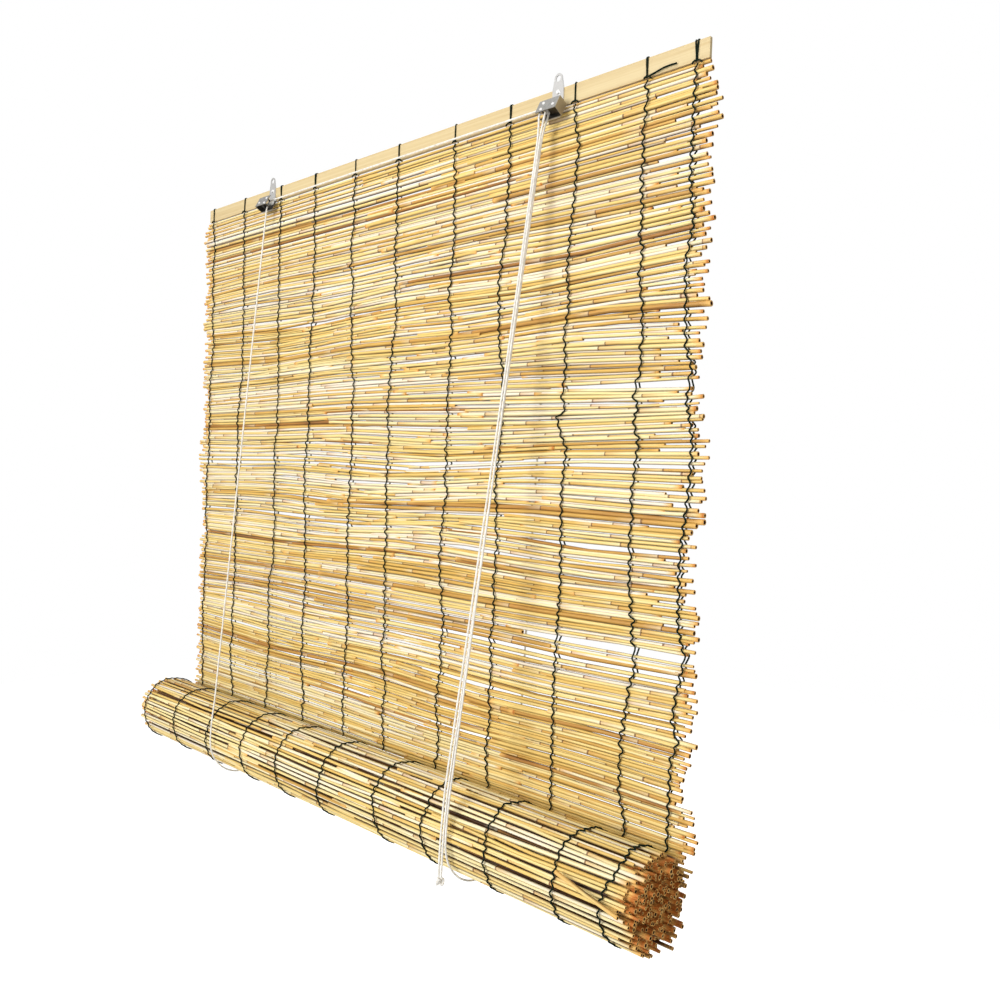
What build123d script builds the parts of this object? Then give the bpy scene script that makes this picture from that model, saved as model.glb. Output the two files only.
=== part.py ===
"""A reed roll-up blind: a rail, a reed mat that ends in a roll, two hangers, a cord lock and its cords.

The frame is in millimetres. X runs along the rail to the right, Y runs back to the window, Z is up.
The origin lies midway between the two hanging eyes.
"""
import math
import os

from build123d import *

os.makedirs("parts", exist_ok=True)

# Rail, a flat pine lath
rail_length = 1000.0
rail_height = 21.0
rail_thick = 4.0
eye_rise = 12.0

# Hangers, folded from steel strip
strip_thick = 1.2
hanger_x = 300.0
hanger_width = 17.0
eye_hole_r = 3.5
eye_ring_r = 6.0
tongue_length = 21.0
tongue_width = 24.0
tongue_tilt_deg = 28.0
back_limb_drop = 18.0
ear_reach = 5.4
ear_hole_r = 1.6
rivet_r = 1.6
rivet_head_r = 2.6
rivet_head_high = 1.0
rivet_drop = 3.6
head_taper_deg = 30.0

# Reed mat and roll
mat_width = 1036.0
roll_width = 1024.0
mat_gap = 1.0
reed_pitch = 6.05
reed_count = 140
reed_half = 2.4
neck_half = 0.6
crest_flat = 2.0
ragged_deep = 18.0
ragged_step_reeds = 4
ragged_shares = [
    0.94, 0.28, 0.22, 0.44, 0.39, 0.61, 0.5, 0.56, 0.47, 0.53, 0.44, 0.5, 0.83, 1.0, 0.72, 0.61, 0.28, 0.06,
    0.0, 0.39, 0.78, 0.72, 0.83, 0.17, 0.22, 0.67, 0.56, 0.22, 0.61, 0.33, 0.67, 0.44, 0.22, 0.06, 0.17,
]
gap_high = 2.2
gap_margin = 7.0
gap_bays = 3
closed_row_every = 7
band_back = 2.0
roll_outer_r = 53.0
roll_inner_r = 9.0
roll_length = 1150.0
rod_clear = 0.2
roll_rest_gap = 0.3

# Binding twine
thread_wide = 1.6
thread_thick = 0.8
thread_shares = [0.4855, 0.4245, 0.326, 0.225, 0.127, 0.015, -0.082, -0.182, -0.275, -0.385, -0.4855]

# Lock housing and pulleys, in the tilted plane of the tongue
sheet_thick = 1.0
housing_wide = 30.5
housing_high = 17.5
housing_top_gap = 3.0
housing_room = 12.0
wheel_off = 8.0
wheel_drop = 7.6
wheel_groove_r = 2.9
wheel_flange_r = 4.3
wheel_wide = 5.6
wheel_gap = 0.2
axle_r = 1.3
axle_clear = 0.05
axle_head_r = 2.0
axle_head_high = 0.7
post_drop = 17.0
post_r = 1.2
pivot_off = 8.7
pivot_drop = 14.0
pawl_hub_r = 3.0
pawl_tip_r = 1.2
pawl_wide = 11.0
pawl_cord_gap = 0.3

# Cords
cord_r = 1.25
cord_gap = 0.1
sling_gap = 0.6
bend_r = 9.0
exit_drop = 19.0
exit_run = 4.0
brow_over = 5.5
sling_rise = 8.0
strand_draw = 34.0
pull_spread = 4.15
tail_end = 922.0
knot_r = 5.5
knot_high = 9.0
anchor_knot_r = 1.8
anchor_knot_high = 4.0
overrun = 5.0

# Worked-out places
rail_top = -eye_rise
rail_bottom = rail_top - rail_height
rail_y = strip_thick / 2 + rail_thick / 2
mat_top = rail_bottom - mat_gap
roll_z = mat_top - reed_pitch * reed_count - roll_rest_gap
roll_y = rail_y - roll_outer_r
turn_pitch = math.pi * (roll_outer_r**2 - roll_inner_r**2) / roll_length
sling_r = roll_outer_r + reed_half + thread_thick + sling_gap + cord_r
back_cord_y = roll_y + sling_r
tilt = math.radians(tongue_tilt_deg)
wheel_track_r = wheel_groove_r + cord_r + cord_gap
wheel_low = strip_thick + sheet_thick + wheel_gap
inner_w = wheel_low + wheel_wide / 2
outer_w = wheel_low + wheel_wide * 1.5 + wheel_gap
front_w = strip_thick + sheet_thick + housing_room
bend_z = rail_bottom + sheet_thick
bend_y = strip_thick / 2
lift_x = hanger_x - wheel_off + wheel_track_r
print("roll axis", round(roll_y, 2), round(roll_z, 2), "turn pitch", round(turn_pitch, 3))


def lock_point(x, v, w):
    """A point of the tilted lock plane: x along the rail, v up the tongue, w out from its back face."""
    y = bend_y + v * math.sin(tilt) - w * math.cos(tilt)
    z = bend_z + v * math.cos(tilt) + w * math.sin(tilt)
    return Vector(x, y, z)


def lock_plane(x, v, w):
    """A sketch plane across the tilted lock, with its normal out of the lock's front."""
    normal = Vector(0, -math.cos(tilt), math.sin(tilt))
    return Plane(origin=lock_point(x, v, w), x_dir=(1, 0, 0), z_dir=normal)


def rounded_path(points, radii):
    """Lines through the points with a tangent arc of the given radius at each inner corner."""
    start = points[0]
    for index in range(1, len(points) - 1):
        corner = points[index]
        into = (corner - points[index - 1]).normalized()
        out = (points[index + 1] - corner).normalized()
        turn = math.acos(max(-1.0, min(1.0, into.dot(out))))
        reach = radii[index - 1] * math.tan(turn / 2)
        first = corner - into * reach
        last = corner + out * reach
        inward = (out - into).normalized()
        centre = corner + inward * (radii[index - 1] / math.cos(turn / 2))
        middle = centre - inward * radii[index - 1]
        if (first - start).length > cord_gap / 10:
            Line(start, first)
        ThreePointArc(first, middle, last)
        start = last
    Line(start, points[-1])


def path_plane(points):
    """The plane of the cord's first cross-section."""
    return Plane(origin=points[0], z_dir=points[1] - points[0])


# Rail, with the two rivet holes
with BuildPart() as headrail:
    with Locations((0, rail_y, rail_top - rail_height / 2)):
        Box(rail_length, rail_thick, rail_height)
    with Locations([(side * hanger_x, rail_y, rail_top - rivet_drop) for side in (-1, 1)]):
        Cylinder(rivet_r, rail_thick + overrun, rotation=(90, 0, 0), mode=Mode.SUBTRACT)
headrail.part.label = "headrail"
export_step(headrail.part, "parts/headrail.step")

# Loops of twine round the rail
thread_xs = [share * rail_length for share in thread_shares]
loop_places = [(x, rail_y, rail_top - rail_height / 2) for x in thread_xs]
with BuildPart() as rail_thread_loops:
    with Locations(loop_places):
        Box(thread_wide, rail_thick + 2 * thread_thick, rail_height + 2 * thread_thick)
    with Locations(loop_places):
        Box(thread_wide + overrun, rail_thick, rail_height, mode=Mode.SUBTRACT)
rail_thread_loops.part.label = "rail_thread_loops"
export_step(rail_thread_loops.part, "parts/rail_thread_loops.step")

# Mat profile, one ridge for each reed
front_line = []
back_line = []
for index in range(reed_count):
    top = mat_top - index * reed_pitch
    middle = top - reed_pitch / 2
    front_line.append((rail_y - neck_half, top))
    front_line.append((rail_y - reed_half, middle + crest_flat / 2))
    front_line.append((rail_y - reed_half, middle - crest_flat / 2))
    back_line.append((rail_y + neck_half, top))
    back_line.append((rail_y + reed_half, middle))
mat_bottom = mat_top - reed_count * reed_pitch
front_line.append((rail_y - neck_half, mat_bottom))
back_line.append((rail_y + neck_half, mat_bottom))

# Uneven reed ends, as the outline that the mat is trimmed to
steps = reed_count // ragged_step_reeds
right_edge = []
left_edge = []
for index in range(steps):
    high = mat_top - index * ragged_step_reeds * reed_pitch
    low = high - ragged_step_reeds * reed_pitch
    right_in = ragged_deep * ragged_shares[index % len(ragged_shares)]
    left_in = ragged_deep * ragged_shares[-1 - index % len(ragged_shares)]
    right_edge.extend([(mat_width / 2 - right_in, high), (mat_width / 2 - right_in, low)])
    left_edge.extend([(-mat_width / 2 + left_in, high), (-mat_width / 2 + left_in, low)])

# Gaps between reeds, a few bays wide, stepped along the mat from row to row
ordered = sorted(thread_xs)
gap_starts = len(ordered) - gap_bays
gap_rows = {start: [] for start in range(gap_starts)}
for index in range(1, reed_count):
    if index % closed_row_every:
        gap_rows[index * gap_bays % gap_starts].append(mat_top - index * reed_pitch)

with BuildPart() as reed_mat:
    with BuildSketch(Plane.YZ):
        with BuildLine():
            Polyline(*front_line, *reversed(back_line), close=True)
        make_face()
    extrude(amount=mat_width / 2, both=True)
    with BuildSketch(Plane.XZ.offset(-rail_y)):
        with BuildLine():
            Polyline(*right_edge, *reversed(left_edge), close=True)
        make_face()
    extrude(amount=reed_half + overrun, both=True, mode=Mode.INTERSECT)
    for start, rows in gap_rows.items():
        low, high = ordered[start], ordered[start + gap_bays]
        with Locations([((low + high) / 2, rail_y, z) for z in rows]):
            Box(high - low - 2 * gap_margin, 2 * reed_half + overrun, gap_high, mode=Mode.SUBTRACT)
reed_mat.part.label = "reed_mat"
export_step(reed_mat.part, "parts/reed_mat.step")

# Twine down the front and the back of the mat
strand_high = mat_top - mat_bottom
strand_off = reed_half + thread_thick / 2
with BuildPart() as binding_threads:
    for side in (-1, 1):
        with Locations([(x, rail_y + side * strand_off, (mat_top + mat_bottom) / 2) for x in thread_xs]):
            Box(thread_wide, thread_thick, strand_high)
binding_threads.part.label = "binding_threads"
export_step(binding_threads.part, "parts/binding_threads.step")

# Roll, one band wound from the outside in, ridged like the mat
roll_count = int(roll_length / reed_pitch)
outer_turn_count = int(2 * math.pi * roll_outer_r / reed_pitch)
outside = []
inside = []
angle = 0.0


def roll_at(turned, lift):
    """A point of the roll's section, at an angle wound from the back, downwards."""
    radius = roll_outer_r - turn_pitch * turned / (2 * math.pi) + lift
    return (roll_y + radius * math.cos(turned), roll_z - radius * math.sin(turned))


for index in range(roll_count):
    radius = roll_outer_r - turn_pitch * angle / (2 * math.pi)
    wide = reed_pitch / radius
    outside.append(roll_at(angle, neck_half))
    inside.append(roll_at(angle, -band_back))
    if index < outer_turn_count:
        outside.append(roll_at(angle + wide / 2 - crest_flat / radius / 2, reed_half))
        outside.append(roll_at(angle + wide / 2 + crest_flat / radius / 2, reed_half))
    else:
        outside.append(roll_at(angle + wide / 2, reed_half))
    angle += wide
outside.append(roll_at(angle, neck_half))
inside.append(roll_at(angle, -band_back))
inner_end_r = roll_outer_r - turn_pitch * angle / (2 * math.pi)
with BuildPart() as reed_roll:
    with BuildSketch(Plane.YZ):
        with BuildLine():
            Polyline(*outside, *reversed(inside), close=True)
        make_face()
    extrude(amount=roll_width / 2, both=True)
reed_roll.part.label = "reed_roll"
export_step(reed_roll.part, "parts/reed_roll.step")

# Rod at the core of the roll
with BuildPart() as bottom_rod:
    with BuildSketch(Plane.YZ):
        with Locations((roll_y, roll_z)):
            Circle(inner_end_r - band_back - rod_clear)
    extrude(amount=rail_length / 2, both=True)
bottom_rod.part.label = "bottom_rod"
export_step(bottom_rod.part, "parts/bottom_rod.step")

# Hangers: an eye above the rail, a plate in front, a fold over the rail and an ear behind it for the lift cord
limb_back = rail_y + rail_thick / 2 + strip_thick
limb_low = rail_top + strip_thick - back_limb_drop
for side, name in ((1, "right_hanger"), (-1, "left_hanger")):
    middle = side * hanger_x
    with BuildPart() as hanger:
        with BuildSketch(Plane.XZ):
            with BuildLine():
                Polyline(
                    (middle - hanger_width / 2, bend_z),
                    (middle + hanger_width / 2, bend_z),
                    (middle + hanger_width / 2, rail_top),
                    (middle + eye_ring_r, 0),
                    (middle - eye_ring_r, 0),
                    (middle - hanger_width / 2, rail_top),
                    close=True,
                )
            make_face()
            with Locations((middle, 0)):
                Circle(eye_ring_r)
                Circle(eye_hole_r, mode=Mode.SUBTRACT)
        extrude(amount=strip_thick / 2, both=True)
        with BuildSketch(lock_plane(middle, 0, 0)):
            with Locations((0, -tongue_length / 2)):
                Rectangle(tongue_width, tongue_length)
        extrude(amount=strip_thick)
        with Locations((middle, (limb_back - strip_thick / 2) / 2, rail_top + strip_thick / 2)):
            Box(hanger_width / 2, limb_back + strip_thick / 2, strip_thick)
        with Locations((middle, limb_back - strip_thick / 2, (rail_top + strip_thick + limb_low) / 2)):
            Box(hanger_width, strip_thick, rail_top + strip_thick - limb_low)
        with Locations((middle, limb_back + ear_reach / 2 - strip_thick / 2, limb_low + strip_thick / 2)):
            Box(hanger_width, ear_reach + strip_thick, strip_thick)
        with Locations((side * lift_x, back_cord_y, limb_low)):
            Cylinder(ear_hole_r, 2 * strip_thick + overrun, mode=Mode.SUBTRACT)
        with Locations((middle, 0, rail_top - rivet_drop)):
            Cylinder(rivet_r, 2 * limb_back + overrun, rotation=(90, 0, 0), mode=Mode.SUBTRACT)
        if side > 0:
            with BuildSketch(lock_plane(middle, 0, 0)):
                with Locations((wheel_off * -side, -post_drop)):
                    Circle(post_r)
                with Locations((pivot_off * side, -pivot_drop)):
                    Circle(post_r)
            extrude(amount=strip_thick, mode=Mode.SUBTRACT)
    hanger.part.label = name
    export_step(hanger.part, "parts/" + name + ".step")

# Rivets through hanger, rail and back limb
with BuildPart() as hanger_rivets:
    for side in (-1, 1):
        with BuildSketch(Plane.XZ.offset(strip_thick / 2)):
            with Locations((side * hanger_x, rail_top - rivet_drop)):
                Circle(rivet_head_r)
        extrude(amount=rivet_head_high, taper=head_taper_deg)
        with BuildSketch(Plane.XZ.offset(strip_thick / 2)):
            with Locations((side * hanger_x, rail_top - rivet_drop)):
                Circle(rivet_r)
        extrude(amount=-(limb_back + strip_thick / 2))
hanger_rivets.part.label = "hanger_rivets"
export_step(hanger_rivets.part, "parts/hanger_rivets.step")

# Housings: a back cheek, a front cheek and a closed outer side, with the rivet holes through both cheeks
for side, name in ((1, "lock_housing"), (-1, "pulley_housing")):
    middle = side * hanger_x
    holes = [(-side * wheel_off, -wheel_drop, axle_r)]
    holes.append((-side * wheel_off, -post_drop, post_r))
    holes.append((side * pivot_off, -pivot_drop, post_r))
    with BuildPart() as housing:
        with BuildSketch(lock_plane(middle, -housing_top_gap - housing_high / 2, strip_thick)):
            Rectangle(housing_wide, housing_high)
        extrude(amount=sheet_thick)
        with BuildSketch(lock_plane(middle, -housing_top_gap - housing_high / 2, front_w)):
            Rectangle(housing_wide, housing_high)
        extrude(amount=sheet_thick)
        web_x = middle + side * (housing_wide - sheet_thick) / 2
        with BuildSketch(lock_plane(web_x, -housing_top_gap - housing_high / 2, strip_thick)):
            Rectangle(sheet_thick, housing_high)
        extrude(amount=front_w + sheet_thick - strip_thick)
        with BuildSketch(lock_plane(middle, 0, strip_thick)):
            for u, v, r in holes:
                with Locations((u, v)):
                    Circle(r)
        extrude(amount=front_w + sheet_thick, mode=Mode.SUBTRACT)
    housing.part.label = name
    export_step(housing.part, "parts/" + name + ".step")

# Grooved wheels
wheel_places = {
    "lock_wheel_inner": (hanger_x - wheel_off, inner_w),
    "lock_wheel_outer": (hanger_x - wheel_off, outer_w),
    "left_wheel": (-hanger_x + wheel_off, inner_w),
}
for name, (x, w) in wheel_places.items():
    axis_plane = lock_plane(x, -wheel_drop, w)
    section = Plane(origin=axis_plane.origin, x_dir=(1, 0, 0), z_dir=axis_plane.y_dir)
    with BuildPart() as wheel:
        with BuildSketch(section):
            with BuildLine():
                Polyline(
                    (axle_r + axle_clear, -wheel_wide / 2),
                    (wheel_flange_r, -wheel_wide / 2),
                    (wheel_groove_r, -wheel_wide / 6),
                    (wheel_groove_r, wheel_wide / 6),
                    (wheel_flange_r, wheel_wide / 2),
                    (axle_r + axle_clear, wheel_wide / 2),
                    close=True,
                )
            make_face()
        revolve(axis=Axis(axis_plane.origin, axis_plane.z_dir))
    wheel.part.label = name
    export_step(wheel.part, "parts/" + name + ".step")

# Axles, guide posts and the pawl's pivot: plain pins with a flat head on the front cheek
pins = {
    "lock_axle": (hanger_x - wheel_off, -wheel_drop, axle_r, strip_thick),
    "left_axle": (-hanger_x + wheel_off, -wheel_drop, axle_r, strip_thick),
    "guide_post": (hanger_x - wheel_off, -post_drop, post_r, 0),
    "pawl_pivot": (hanger_x + pivot_off, -pivot_drop, post_r, 0),
    "left_lower_post": (-hanger_x + wheel_off, -post_drop, post_r, strip_thick),
    "left_side_post": (-hanger_x - pivot_off, -pivot_drop, post_r, strip_thick),
}
for name, (x, v, r, low) in pins.items():
    with BuildPart() as pin:
        with BuildSketch(lock_plane(x, v, low)):
            Circle(r)
        extrude(amount=front_w + sheet_thick - low)
        with BuildSketch(lock_plane(x, v, front_w + sheet_thick)):
            Circle(axle_head_r)
        extrude(amount=axle_head_high, taper=head_taper_deg)
    pin.part.label = name
    export_step(pin.part, "parts/" + name + ".step")

# Brake pawl: a hub on its pivot and a nose that stops short of the cords
nose_u = -wheel_off + wheel_track_r + cord_r + pawl_cord_gap + pawl_tip_r
pawl_low = strip_thick + sheet_thick + (housing_room - pawl_wide) / 2
with BuildPart() as brake_pawl:
    with BuildSketch(lock_plane(hanger_x, 0, pawl_low)):
        with Locations((pivot_off, -pivot_drop)):
            Circle(pawl_hub_r)
        with Locations((nose_u, -pivot_drop)):
            Circle(pawl_tip_r)
        make_hull()
        with Locations((pivot_off, -pivot_drop)):
            Circle(post_r + axle_clear, mode=Mode.SUBTRACT)
    extrude(amount=pawl_wide)
brake_pawl.part.label = "brake_pawl"
export_step(brake_pawl.part, "parts/brake_pawl.step")

# Where the strands run: from the lock to the brow over the roll, then to the roll's front
brow_z = roll_z + roll_outer_r + reed_half + brow_over


def exit_points(x, w, low_x):
    """Points of one strand: the lock's mouth, its start, its brow over the roll and its touch on the sling."""
    mouth = lock_point(x, -exit_drop, w)
    across = mouth.Y - roll_y
    up = mouth.Z - roll_z
    slope = math.atan2(up, across) + math.acos(sling_r / math.hypot(across, up))
    touch = Vector(low_x, roll_y + sling_r * math.cos(slope), roll_z + sling_r * math.sin(slope))
    share = (mouth.Z - brow_z) / (mouth.Z - touch.Z)
    brow = Vector(low_x, mouth.Y + (touch.Y - mouth.Y) * share, brow_z)
    start = mouth + (brow - mouth).normalized() * exit_run
    return mouth, start, brow, touch


def swept(name, points, radii):
    """One cord along a rounded path."""
    with BuildPart() as cord:
        with BuildLine() as line:
            rounded_path(points, radii)
        with BuildSketch(path_plane(points)):
            Circle(cord_r)
        sweep(path=line.wire())
    cord.part.label = name
    export_step(cord.part, "parts/" + name + ".step")
    print(name, "arc radii", [round(r, 2) for r in radii], "length", round(line.wire().length, 1))


right_x = lift_x
left_x = -lift_x
outer_left_x = hanger_x - wheel_off - wheel_track_r
crown_v = -wheel_drop + wheel_track_r
right_low_x = right_x - strand_draw
middle_x = right_low_x - pull_spread
pull_low_x = outer_left_x - strand_draw
lift_mouth, lift_start, lift_brow, lift_touch = exit_points(right_x, outer_w, right_low_x)
pull_mouth, pull_start, pull_brow, pull_touch = exit_points(outer_left_x, outer_w, pull_low_x)
cross_mouth, cross_start, cross_brow, cross_touch = exit_points(right_x, inner_w, middle_x)
left_mouth, left_start, left_brow, left_touch = exit_points(left_x, inner_w, -right_low_x)

# The right cord over the outer wheel
swept(
    "right_wheel_cord",
    [
        lift_start,
        lift_mouth,
        lock_point(right_x, crown_v, outer_w),
        lock_point(outer_left_x, crown_v, outer_w),
        pull_mouth,
        pull_start,
    ],
    [bend_r, wheel_track_r, wheel_track_r, bend_r],
)

# The left cord over its wheel, along the rail and over the inner wheel
swept(
    "cross_cord",
    [
        left_start,
        left_mouth,
        lock_point(left_x, crown_v, inner_w),
        lock_point(right_x, crown_v, inner_w),
        cross_mouth,
        cross_start,
    ],
    [bend_r, wheel_track_r, wheel_track_r, bend_r],
)

# Straight runs, down the front to the brow and up the back from the slings
straights = {
    "right_lift_front": (lift_start, lift_brow),
    "left_lift_front": (left_start, left_brow),
    "right_pull_upper": (pull_start, pull_brow),
    "left_pull_upper": (cross_start, cross_brow),
    "right_lift_back": (
        Vector(right_low_x, back_cord_y, roll_z + sling_rise),
        Vector(right_x, back_cord_y, limb_low + strip_thick),
    ),
    "left_lift_back": (
        Vector(-right_low_x, back_cord_y, roll_z + sling_rise),
        Vector(left_x, back_cord_y, limb_low + strip_thick),
    ),
}
for name, (low, high) in straights.items():
    run = (high - low).normalized()
    with BuildPart() as strand:
        with BuildSketch(Plane(origin=low + run * cord_gap, z_dir=run)):
            Circle(cord_r)
        extrude(amount=(high - low).length - 2 * cord_gap)
    strand.part.label = name
    export_step(strand.part, "parts/" + name + ".step")

# Slings under the roll
for name, brow, touch in (("right_sling", lift_brow, lift_touch), ("left_sling", left_brow, left_touch)):
    low_middle = Vector(touch.X, roll_y, roll_z - sling_r)
    back = Vector(touch.X, back_cord_y, roll_z)
    front_half = math.atan2(touch.Z - roll_z, touch.Y - roll_y)
    between = (front_half + 1.5 * math.pi) / 2
    quarter = Vector(touch.X, roll_y + sling_r * math.cos(between), roll_z + sling_r * math.sin(between))
    far_quarter = Vector(touch.X, roll_y + sling_r / math.sqrt(2), roll_z - sling_r / math.sqrt(2))
    with BuildPart() as sling:
        with BuildLine() as line:
            Line(brow, touch)
            ThreePointArc(touch, quarter, low_middle)
            ThreePointArc(low_middle, far_quarter, back)
            Line(back, back + Vector(0, 0, sling_rise))
        with BuildSketch(Plane(origin=brow, z_dir=touch - brow)):
            Circle(cord_r)
        sweep(path=line.wire())
    sling.part.label = name
    export_step(sling.part, "parts/" + name + ".step")
    print(name, "arc radius", round(sling_r, 2), "length", round(line.wire().length, 1))

# Pull tails in front of the roll, down to their knot
for name, brow, touch, x in (
    ("right_pull_tail", pull_brow, pull_touch, pull_low_x),
    ("left_pull_tail", cross_brow, cross_touch, middle_x),
):
    swept(
        name,
        [brow, Vector(x, roll_y - sling_r, roll_z + sling_rise / 2), Vector(x, roll_y - sling_r, -tail_end)],
        [sling_r * 2],
    )
with BuildPart() as pull_knot:
    with BuildSketch(Plane.XY.offset(-tail_end)):
        with Locations(((pull_low_x + middle_x) / 2, roll_y - sling_r)):
            Circle(knot_r)
    extrude(amount=-knot_high)
    chamfer(pull_knot.edges().filter_by(GeomType.CIRCLE), knot_high / 4)
pull_knot.part.label = "pull_knot"
export_step(pull_knot.part, "parts/pull_knot.step")

# Knots that hold the lift cords on the hangers' ears
with BuildPart() as lift_cord_knots:
    with BuildSketch(Plane.XY.offset(limb_low + strip_thick)):
        with Locations([(side * lift_x, back_cord_y) for side in (-1, 1)]):
            Circle(anchor_knot_r)
    extrude(amount=anchor_knot_high)
lift_cord_knots.part.label = "lift_cord_knots"
export_step(lift_cord_knots.part, "parts/lift_cord_knots.step")
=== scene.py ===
# %% [markdown]
# A reed roll-up blind, dressed for the camera
#
# The blind is a mat of thin dry reeds bound with dark twine. It hangs from a flat pine rail, and its lower
# half is wound into a roll that rests in two cords. Every new piece is then built in metres in that same
# frame, so nothing has to be fitted by eye.

# %% Load the measured model
import math
import random

import bmesh
import bpy
from mathutils import Matrix, Vector


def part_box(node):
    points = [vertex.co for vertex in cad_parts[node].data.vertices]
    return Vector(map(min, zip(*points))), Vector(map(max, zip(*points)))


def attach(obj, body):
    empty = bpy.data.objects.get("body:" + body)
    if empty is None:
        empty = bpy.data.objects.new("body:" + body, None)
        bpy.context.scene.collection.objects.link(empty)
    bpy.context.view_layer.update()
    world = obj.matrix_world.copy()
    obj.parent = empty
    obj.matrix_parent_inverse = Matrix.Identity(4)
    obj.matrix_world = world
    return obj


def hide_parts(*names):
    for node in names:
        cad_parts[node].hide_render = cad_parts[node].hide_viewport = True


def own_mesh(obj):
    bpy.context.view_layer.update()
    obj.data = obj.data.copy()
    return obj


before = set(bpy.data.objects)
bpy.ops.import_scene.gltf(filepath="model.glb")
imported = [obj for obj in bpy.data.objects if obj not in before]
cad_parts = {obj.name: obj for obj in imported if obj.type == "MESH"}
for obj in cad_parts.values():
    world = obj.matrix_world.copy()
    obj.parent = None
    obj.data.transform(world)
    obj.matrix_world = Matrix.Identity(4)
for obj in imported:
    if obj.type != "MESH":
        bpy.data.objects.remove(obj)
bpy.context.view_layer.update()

# %% [markdown]
# A short way to write shader maths
#
# Materials are built from nodes, and a long material is hard to read as a list of nodes and links. A small
# class wraps one socket, so that ordinary sums such as 1 - mask add the Math nodes by themselves. Every other
# node comes from one method that takes its type, its settings and its inputs.

# %% Socket sums and the material builder
class Wire:
    """One output socket that can take part in sums."""

    def __init__(self, finish, socket):
        self.finish = finish
        self.socket = socket

    def sum(self, operation, first, second=None):
        values = {0: first} if second is None else {0: first, 1: second}
        return self.finish.add("ShaderNodeMath", {"operation": operation}, values)

    def __add__(self, other):
        return self.sum("ADD", self, other)

    __radd__ = __add__

    def __mul__(self, other):
        return self.sum("MULTIPLY", self, other)

    __rmul__ = __mul__

    def __sub__(self, other):
        return self.sum("SUBTRACT", self, other)

    def __rsub__(self, other):
        return self.sum("SUBTRACT", other, self)

    def fract(self):
        return self.sum("FRACT", self)

    def size(self):
        return self.sum("ABSOLUTE", self)

    def under(self, limit):
        return self.sum("LESS_THAN", self, limit)

    def over(self, limit):
        return self.sum("GREATER_THAN", self, limit)

    def held(self):
        """The value kept between 0 and 1."""
        return self.finish.add("ShaderNodeClamp", {}, {"Value": self})

    def part(self, name):
        """Another output of the same node."""
        return Wire(self.finish, self.socket.node.outputs[name])


class Finish:
    """A material under construction."""

    def __init__(self, name):
        self.material = bpy.data.materials.new(name)
        self.material.use_nodes = True
        self.tree = self.material.node_tree
        self.skin = self.tree.nodes["Principled BSDF"]

    def add(self, kind, settings=None, values=None):
        node = self.tree.nodes.new(kind)
        for key, value in (settings or {}).items():
            if key == "stops":
                while len(node.color_ramp.elements) < len(value):
                    node.color_ramp.elements.new(0.5)
                for element, (place, colour) in zip(node.color_ramp.elements, value):
                    element.position = place
                    element.color = (*colour, 1)
            else:
                setattr(node, key, value)
        for key, value in (values or {}).items():
            self.feed(node.inputs[key], value)
        return Wire(self, node.outputs[0])

    def feed(self, socket, value):
        if isinstance(value, Wire):
            self.tree.links.new(value.socket, socket)
        else:
            socket.default_value = value

    def set(self, **sockets):
        for key, value in sockets.items():
            self.feed(self.skin.inputs[key.replace("_", " ")], value)
        return self

    def place(self):
        return self.add("ShaderNodeTexCoord").part("Object")

    def stretched(self, vector, scale):
        return self.add("ShaderNodeMapping", {}, {"Vector": vector, "Scale": scale})

    def noise(self, vector, scale, detail=3.0, roughness=0.55):
        values = {"Vector": vector, "Scale": scale, "Detail": detail, "Roughness": roughness}
        return self.add("ShaderNodeTexNoise", {}, values)

    def ramp(self, factor, stops):
        return self.add("ShaderNodeValToRGB", {"stops": stops}, {"Fac": factor})

    def mix(self, factor, first, second, blend="MIX"):
        settings = {"data_type": "RGBA", "blend_type": blend}
        node = self.add("ShaderNodeMix", settings, {"Factor": factor}).socket.node
        for key, value in ((6, first), (7, second)):
            self.feed(node.inputs[key], value if isinstance(value, Wire) else (*value, 1))
        return Wire(self, node.outputs[2])

    def dent(self, height, strength, distance):
        return self.add("ShaderNodeBump", {}, {"Height": height, "Strength": strength, "Distance": distance})

    def tag(self, name):
        """A number stored on each point of a mesh."""
        return self.add("ShaderNodeAttribute", {"attribute_name": name}).part("Fac")


def show(piece, finish):
    """Give a piece one material."""
    piece.data.materials.clear()
    piece.data.materials.append(finish.material)


print("material builder ready")

# %% [markdown]
# The camera
#
# The photo was taken with a moderate wide lens from the right and a little below the middle of the blind. The
# camera's place and turn were solved from the rail, the twine columns and the roll, so they are written as
# numbers: where it stands, how far it turns left, how far it tips down and how far it leans.

# %% Camera
photo_px = 1000
lens_px = 912.2
camera_at = (1.0001, -0.8149, -0.4669)
turned_left = math.radians(43.46)
tipped_down = math.radians(1.37)
leant = math.radians(1.87)
eye = bpy.data.cameras.new("photo_camera")
eye.sensor_width = 36.0
eye.lens = lens_px / photo_px * eye.sensor_width
camera = bpy.data.objects.new("photo_camera", eye)
bpy.context.scene.collection.objects.link(camera)
turn = Matrix.Rotation(turned_left, 4, "Z")
tip = Matrix.Rotation(math.pi / 2 - tipped_down, 4, "X")
lean = Matrix.Rotation(leant, 4, "Z")
camera.matrix_world = Matrix.Translation(camera_at) @ turn @ tip @ lean
eye.clip_start = 0.01
eye.clip_end = 50
bpy.context.scene.camera = camera
bpy.context.scene.view_settings.view_transform = "Standard"
print("lens", round(eye.lens, 2), "mm")

# %% [markdown]
# Light and background
#
# The blind was shot on pure white, with soft light from the front and above. A pale world does most of the
# work. Camera and mirror rays see plain white, while the light that reaches the reeds is weaker, so that pale
# straw does not burn out. A large lamp in front gives the roll its shape, and a weak one above brightens its
# top. Two more fill in the cut ends at the right and the back of the mat. A pale floor lies well below.

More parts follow.
